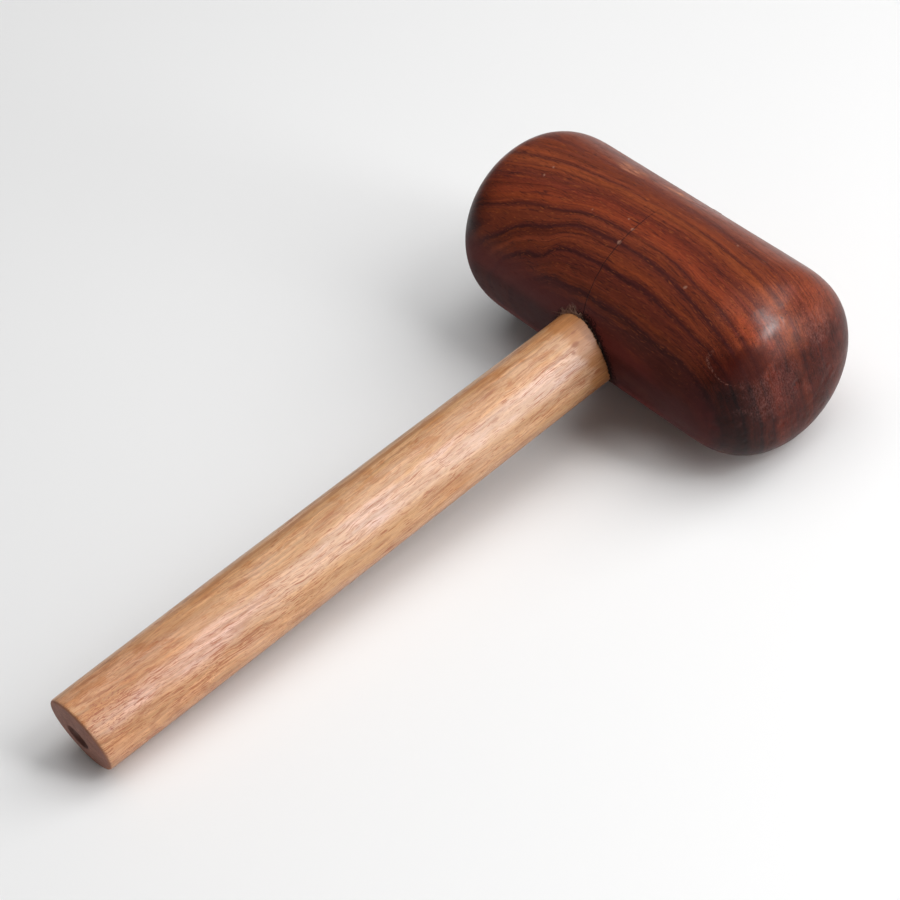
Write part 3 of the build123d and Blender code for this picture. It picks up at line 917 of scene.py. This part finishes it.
    # painted shade inside the centre mark
    inside = g.map(g.radius(x - RECESS_X, z - RECESS_Z), RECESS_R + 0.5, RECESS_R + 0.1) * g.map(s, HANDLE_END - 8.0, HANDLE_END - 6.5)
    col = g.mix(inside * 0.92, col, g.mix(dots, srgb(84, 46, 38), srgb(112, 66, 52)))
    # the tenon's end on the far side of the head
    far = g.map(y, 20.0, 24.0)
    rays = g.noise(g.vec(x * 1.6, y * 0.2, z * 0.5), 1.0, 3.0, 0.6)
    far_col = g.scale_color(g.mix(g.map(dots, 0.45, 0.65) * 0.5, srgb(150, 106, 72), srgb(104, 66, 44)), g.map(rays, 0.3, 0.7, 0.82, 1.12, False))
    col = g.mix(far * 0.9, col, far_col)

    sheen = g.noise(g.vec(x * 0.10, y * 0.03, z * 0.10), 1.0, 4.0, 0.6)
    rough = g.map(sheen, 0.3, 0.7, 0.28, 0.40, False) + pores * 0.15 + butt * 0.34 + far * 0.2 + marks * 0.1
    h = (1.0 - pores) * 0.7 + (1.0 - pores2) * 0.35 + (1.0 - lines) * 0.2 + st * 0.3 + fib * 0.15 + butt * dots * 1.2 + far * dots
    g.put(Base_Color=col, Roughness=rough, Normal=g.bump(h, 0.24, 0.00010))
    g.bsdf.inputs["IOR"].default_value = 1.5
    return g.mat


def wedge_material():
    g = Graph("wedge_hardwood")
    x, y, z = g.x, g.y, g.z
    p = g.noise(g.vec(x * 2.2, y * 0.2, z * 2.2), 1.0, 2.0, 0.6)
    d = g.noise(g.vec(x * 0.5, y * 0.3, z * 0.5), 1.0, 3.0, 0.6)
    col = g.ramp(d, [(0.3, srgb(84, 46, 36)), (0.7, srgb(118, 66, 46))])
    col = g.scale_color(col, g.map(p, 0.3, 0.7, 0.7, 1.15, False))
    g.put(Base_Color=col, Roughness=g.map(d, 0.3, 0.7, 0.5, 0.7, False), Normal=g.bump(p, 0.4, 0.00015))
    return g.mat


def glue_material():
    g = Graph("dried_glue")
    x, y, z = g.x, g.y, g.z
    d = g.noise(g.vec(x * 0.5, y * 0.5, z * 0.5), 1.0, 3.0, 0.6)
    f = g.noise(g.vec(x * 2.5, y * 2.5, z * 2.5), 1.0, 2.0, 0.6)
    col = g.ramp(d, [(0.35, srgb(56, 38, 32)), (0.50, srgb(84, 62, 50)), (0.70, srgb(128, 106, 92))])
    crust = g.noise(g.vec(x * 1.3, y * 1.3, z * 1.3), 1.0, 2.0, 0.6)
    # on the right of the mouth the glue is near black: dark crust, and painted shade of the gap there
    dark = g.map(x + (d - 0.5) * 6.0, -2.0, 3.0)
    black = g.ramp(crust, [(0.48, srgb(26, 13, 11)), (0.58, srgb(58, 40, 33)), (0.70, srgb(132, 108, 90))])
    col = g.mix(dark, g.mix(0.50, col, srgb(176, 132, 112)), black)
    col = g.scale_color(col, g.map(f, 0.3, 0.7, 0.6, 1.3, False))
    g.put(Base_Color=col, Roughness=g.map(f, 0.3, 0.7, 0.66, 0.84, False), Normal=g.bump(f, 0.5, 0.00015))
    g.bsdf.inputs["IOR"].default_value = 1.2
    return g.mat


def paint(ob, mat):
    ob.data.materials.clear()
    ob.data.materials.append(mat)


paint(head, head_material())
paint(handle, handle_material())
paint(wedge, wedge_material())
glue = glue_material()
paint(bead, glue)
paint(frame["nodes"]["glue_line"], glue)


# ---------------------------------------------------------------- studio
def area(name, loc, target, size, power, color=(1, 1, 1), size_y=None):
    la = bpy.data.lights.new(name, "AREA")
    la.shape = "RECTANGLE"
    la.size = size
    la.size_y = size_y or size
    la.energy = power
    la.color = color
    ob = bpy.data.objects.new(name, la)
    bpy.context.scene.collection.objects.link(ob)
    ob.location = loc
    ob.rotation_euler = (Vector(target) - Vector(loc)).to_track_quat("-Z", "Y").to_euler()
    return ob


def around(az, el, dist):
    a, e = math.radians(az), math.radians(el)
    return Vector((dist * math.cos(e) * math.cos(a), dist * math.cos(e) * math.sin(a), dist * math.sin(e)))


cam_data = bpy.data.cameras.new("camera")
cam_data.sensor_width = 36
cam_data.lens = 138.508
cam_data.clip_end = 20
cam = bpy.data.objects.new("camera", cam_data)
bpy.context.scene.collection.objects.link(cam)
cam.matrix_world = Matrix((
    (0.6032092, -0.4475702, 0.6601663, 0.7089584),
    (0.7744219, 0.5266859, -0.3505321, -0.3612718),
    (-0.1908125, 0.7226914, 0.6643100, 0.7367645),
    (0, 0, 0, 1)))
bpy.context.scene.camera = cam

floor_me = bpy.data.meshes.new("floor")
floor_me.from_pydata([(-6, -6, 0), (6, -6, 0), (6, 6, 0), (-6, 6, 0)], [], [(0, 1, 2, 3)])
floor = bpy.data.objects.new("floor", floor_me)
bpy.context.scene.collection.objects.link(floor)
floor.location.z = -0.0002
fm = bpy.data.materials.new("floor")
fm.use_nodes = True
fb = fm.node_tree.nodes["Principled BSDF"]
fb.inputs["Base Color"].default_value = (0.84, 0.84, 0.84, 1)
fb.inputs["Roughness"].default_value = 0.9
fb.inputs["Specular IOR Level"].default_value = 0.2
floor_me.materials.append(fm)

world = bpy.data.worlds.new("world")
bpy.context.scene.world = world
world.use_nodes = True
bg = world.node_tree.nodes["Background"]
bg.inputs["Color"].default_value = (1.0, 1.0, 1.0, 1)
bg.inputs["Strength"].default_value = 0.15

area("key", around(23, 31, 1.25), (0, 0, 0.03), 0.26, 8.6, size_y=1.20)
area("low", around(20, 7, 1.2), (0, 0, 0.03), 0.30, 1.8, size_y=0.22)
area("back", around(60, 46, 1.5), (0, 0, 0.03), 1.2, 12.5, size_y=1.2)
area("overhead", (-0.1, 0.2, 1.6), (0, 0, 0), 1.4, 11.0, size_y=1.2)

bpy.context.scene.view_settings.view_transform = "Standard"
